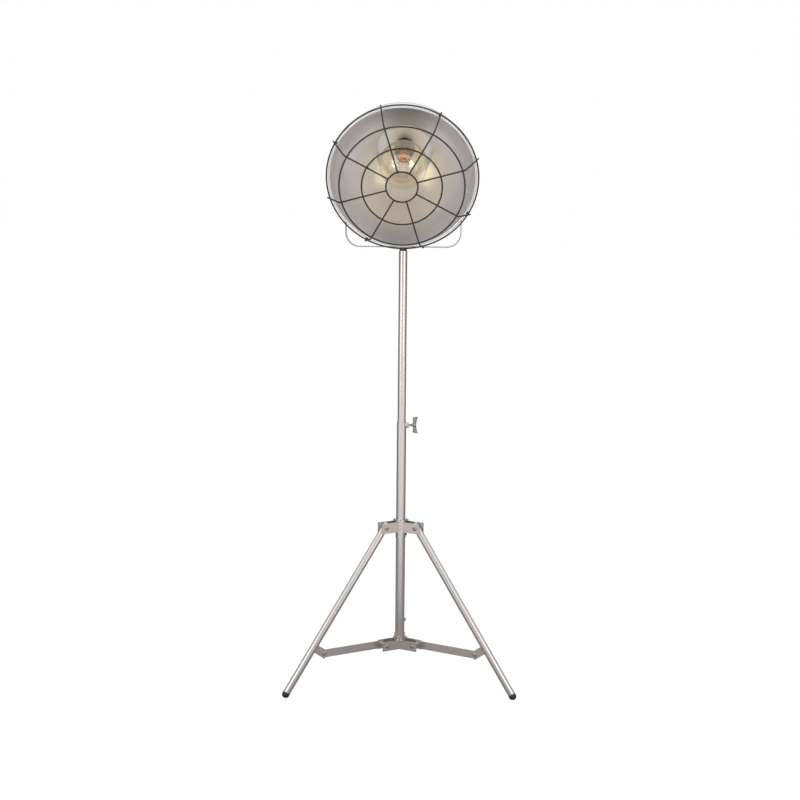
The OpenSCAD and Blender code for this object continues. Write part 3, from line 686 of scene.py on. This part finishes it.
def lay_floor(half=30, drop=0.0002):
    mesh = bpy.data.meshes.new("floor")
    corners = [(-half, -half, 0), (half, -half, 0), (half, half, 0), (-half, half, 0)]
    mesh.from_pydata(corners, [], [(0, 1, 2, 3)])
    floor = bpy.data.objects.new("floor", mesh)
    bpy.context.scene.collection.objects.link(floor)
    floor.location.z = cad_box[0][2] - drop
    mesh.materials.append(floor_paper())


def studio_world():
    """White to the camera. The metal reflects a pale room: dim behind, brighter in front and above."""
    world = bpy.data.worlds.new("studio")
    bpy.context.scene.world = world
    world.use_nodes = True
    nt = world.node_tree
    nt.nodes.clear()
    seen = nt.nodes.new("ShaderNodeBackground")
    seen.inputs["Color"].default_value = (*grey(1), 1)
    seen.inputs["Strength"].default_value = 1.0
    direction = axes(nt, "Generated")
    facing = spread(nt, direction["Y"], 0.0, 1.0, 1.0, -1.0)
    walls = ramp(nt, facing, [(0.0, grey(0.18)), (0.45, grey(0.24)), (0.75, grey(0.56)), (1.0, grey(0.68))])
    blend = nt.nodes.new("ShaderNodeMix")
    blend.data_type = "RGBA"
    nt.links.new(ramp(nt, direction["Z"], [(0.25, grey(0)), (0.60, grey(1))]), blend.inputs[0])
    nt.links.new(walls, blend.inputs[6])
    blend.inputs[7].default_value = (*grey(1.15), 1)
    room = nt.nodes.new("ShaderNodeBackground")
    room.inputs["Strength"].default_value = 1.0
    nt.links.new(blend.outputs[2], room.inputs["Color"])
    both = mixed(nt, room.outputs[0], seen.outputs[0])
    path = nt.nodes.new("ShaderNodeLightPath")
    nt.links.new(path.outputs["Is Camera Ray"], both.inputs["Fac"])
    out = nt.nodes.new("ShaderNodeOutputWorld")
    nt.links.new(both.outputs[0], out.inputs["Surface"])


def softbox(name, place, aim_z, width, height, power):
    """A rectangular light aimed at a height on the lamp's axis."""
    light = bpy.data.lights.new(name, "AREA")
    light.shape = "RECTANGLE"
    light.size, light.size_y = width, height
    light.energy = power
    obj = bpy.data.objects.new(name, light)
    obj.location = place
    obj.rotation_euler = (Vector((0, 0, aim_z)) - Vector(place)).to_track_quat("-Z", "Y").to_euler()
    obj.visible_camera = False
    bpy.context.scene.collection.objects.link(obj)


def place_camera(place, down, roll, lens):
    data = bpy.data.cameras.new("camera")
    data.sensor_width = 36
    data.lens = lens
    data.clip_end = 100
    camera = bpy.data.objects.new("camera", data)
    camera.matrix_world = (Matrix.Translation(place) @ Matrix.Rotation(math.radians(90 - down), 4, "X")
                           @ Matrix.Rotation(math.radians(roll), 4, "Z"))
    bpy.context.scene.collection.objects.link(camera)
    bpy.context.scene.camera = camera


lay_floor()
studio_world()
softbox("key_left", (-2.7, -2.7, 1.5), 1.0, 1.25, 1.9, 22)
softbox("key_right", (2.3, -3.1, 1.5), 1.0, 1.15, 1.9, 19)
softbox("top", (0, 0.4, 4.2), 0.5, 3.2, 3.2, 24)
place_camera((-0.0048, -3.8, 1.2676), 7.60, 0.52, 65.1)
bpy.context.scene.view_settings.view_transform = "Standard"
